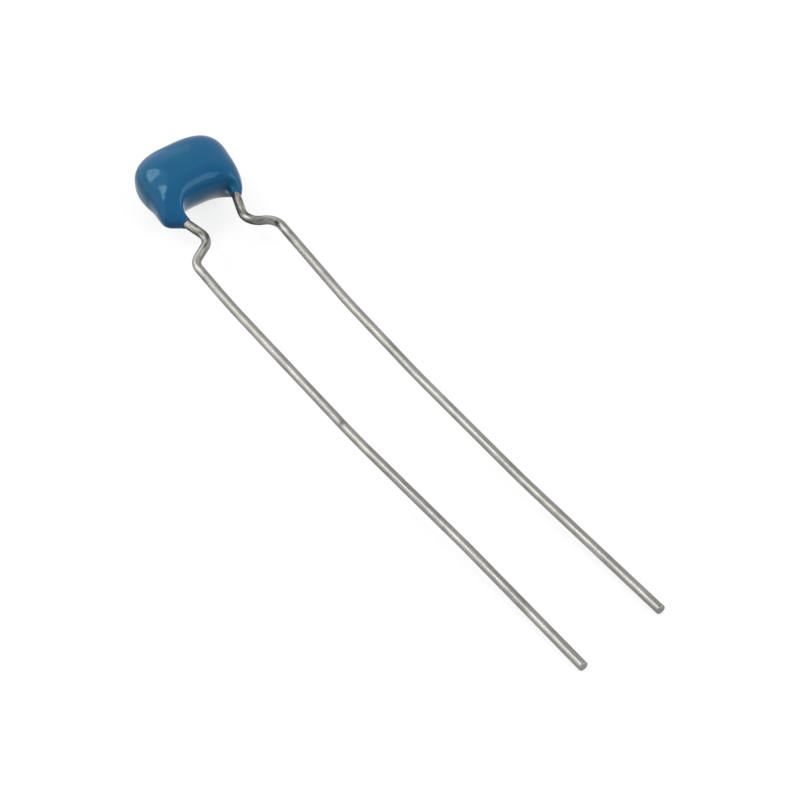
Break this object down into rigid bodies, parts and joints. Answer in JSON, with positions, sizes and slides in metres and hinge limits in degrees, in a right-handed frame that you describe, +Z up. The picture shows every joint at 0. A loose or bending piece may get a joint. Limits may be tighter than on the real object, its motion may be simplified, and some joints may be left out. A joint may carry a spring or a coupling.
{
  "type": "multilayer ceramic capacitor",
  "caption": "Radial-leaded multilayer ceramic capacitor: a glossy blue dipped coat, arched at its foot, over a layered chip, with two kinked tinned wires, lying on its side.",
  "frame": {"origin": "middle of the part's outline, on the surface it lies on", "axes": "+Y from the wire ends to the coated body, +Z up from the surface the part lies on, +X across the two wires"},
  "size_m": [0.0062, 0.0404, 0.0032],
  "materials": {
    "epoxy_coat": "glossy dipped epoxy with a soft orange-peel surface",
    "ceramic": "matt fired ceramic",
    "end_cap": "matt fired silver with a tinned face",
    "solder": "dull solder",
    "electrode": "sintered nickel",
    "lead_wire": "bright tinned wire with fine drawing lines"
  },
  "bodies": {
    "root": {"epoxy_coat": "epoxy_coat", "ceramic_block": "ceramic", "termination_left": "end_cap", "termination_right": "end_cap", "solder_left": "solder", "solder_right": "solder", "lead_left": "lead_wire", "lead_right": "lead_wire", "electrode_01": "electrode", "electrode_02": "electrode", "electrode_03": "electrode", "electrode_04": "electrode", "electrode_05": "electrode", "electrode_06": "electrode", "electrode_07": "electrode", "electrode_08": "electrode", "electrode_09": "electrode", "electrode_10": "electrode", "electrode_11": "electrode", "electrode_12": "electrode", "electrode_13": "electrode", "electrode_14": "electrode"}
  },
  "joints": []
}
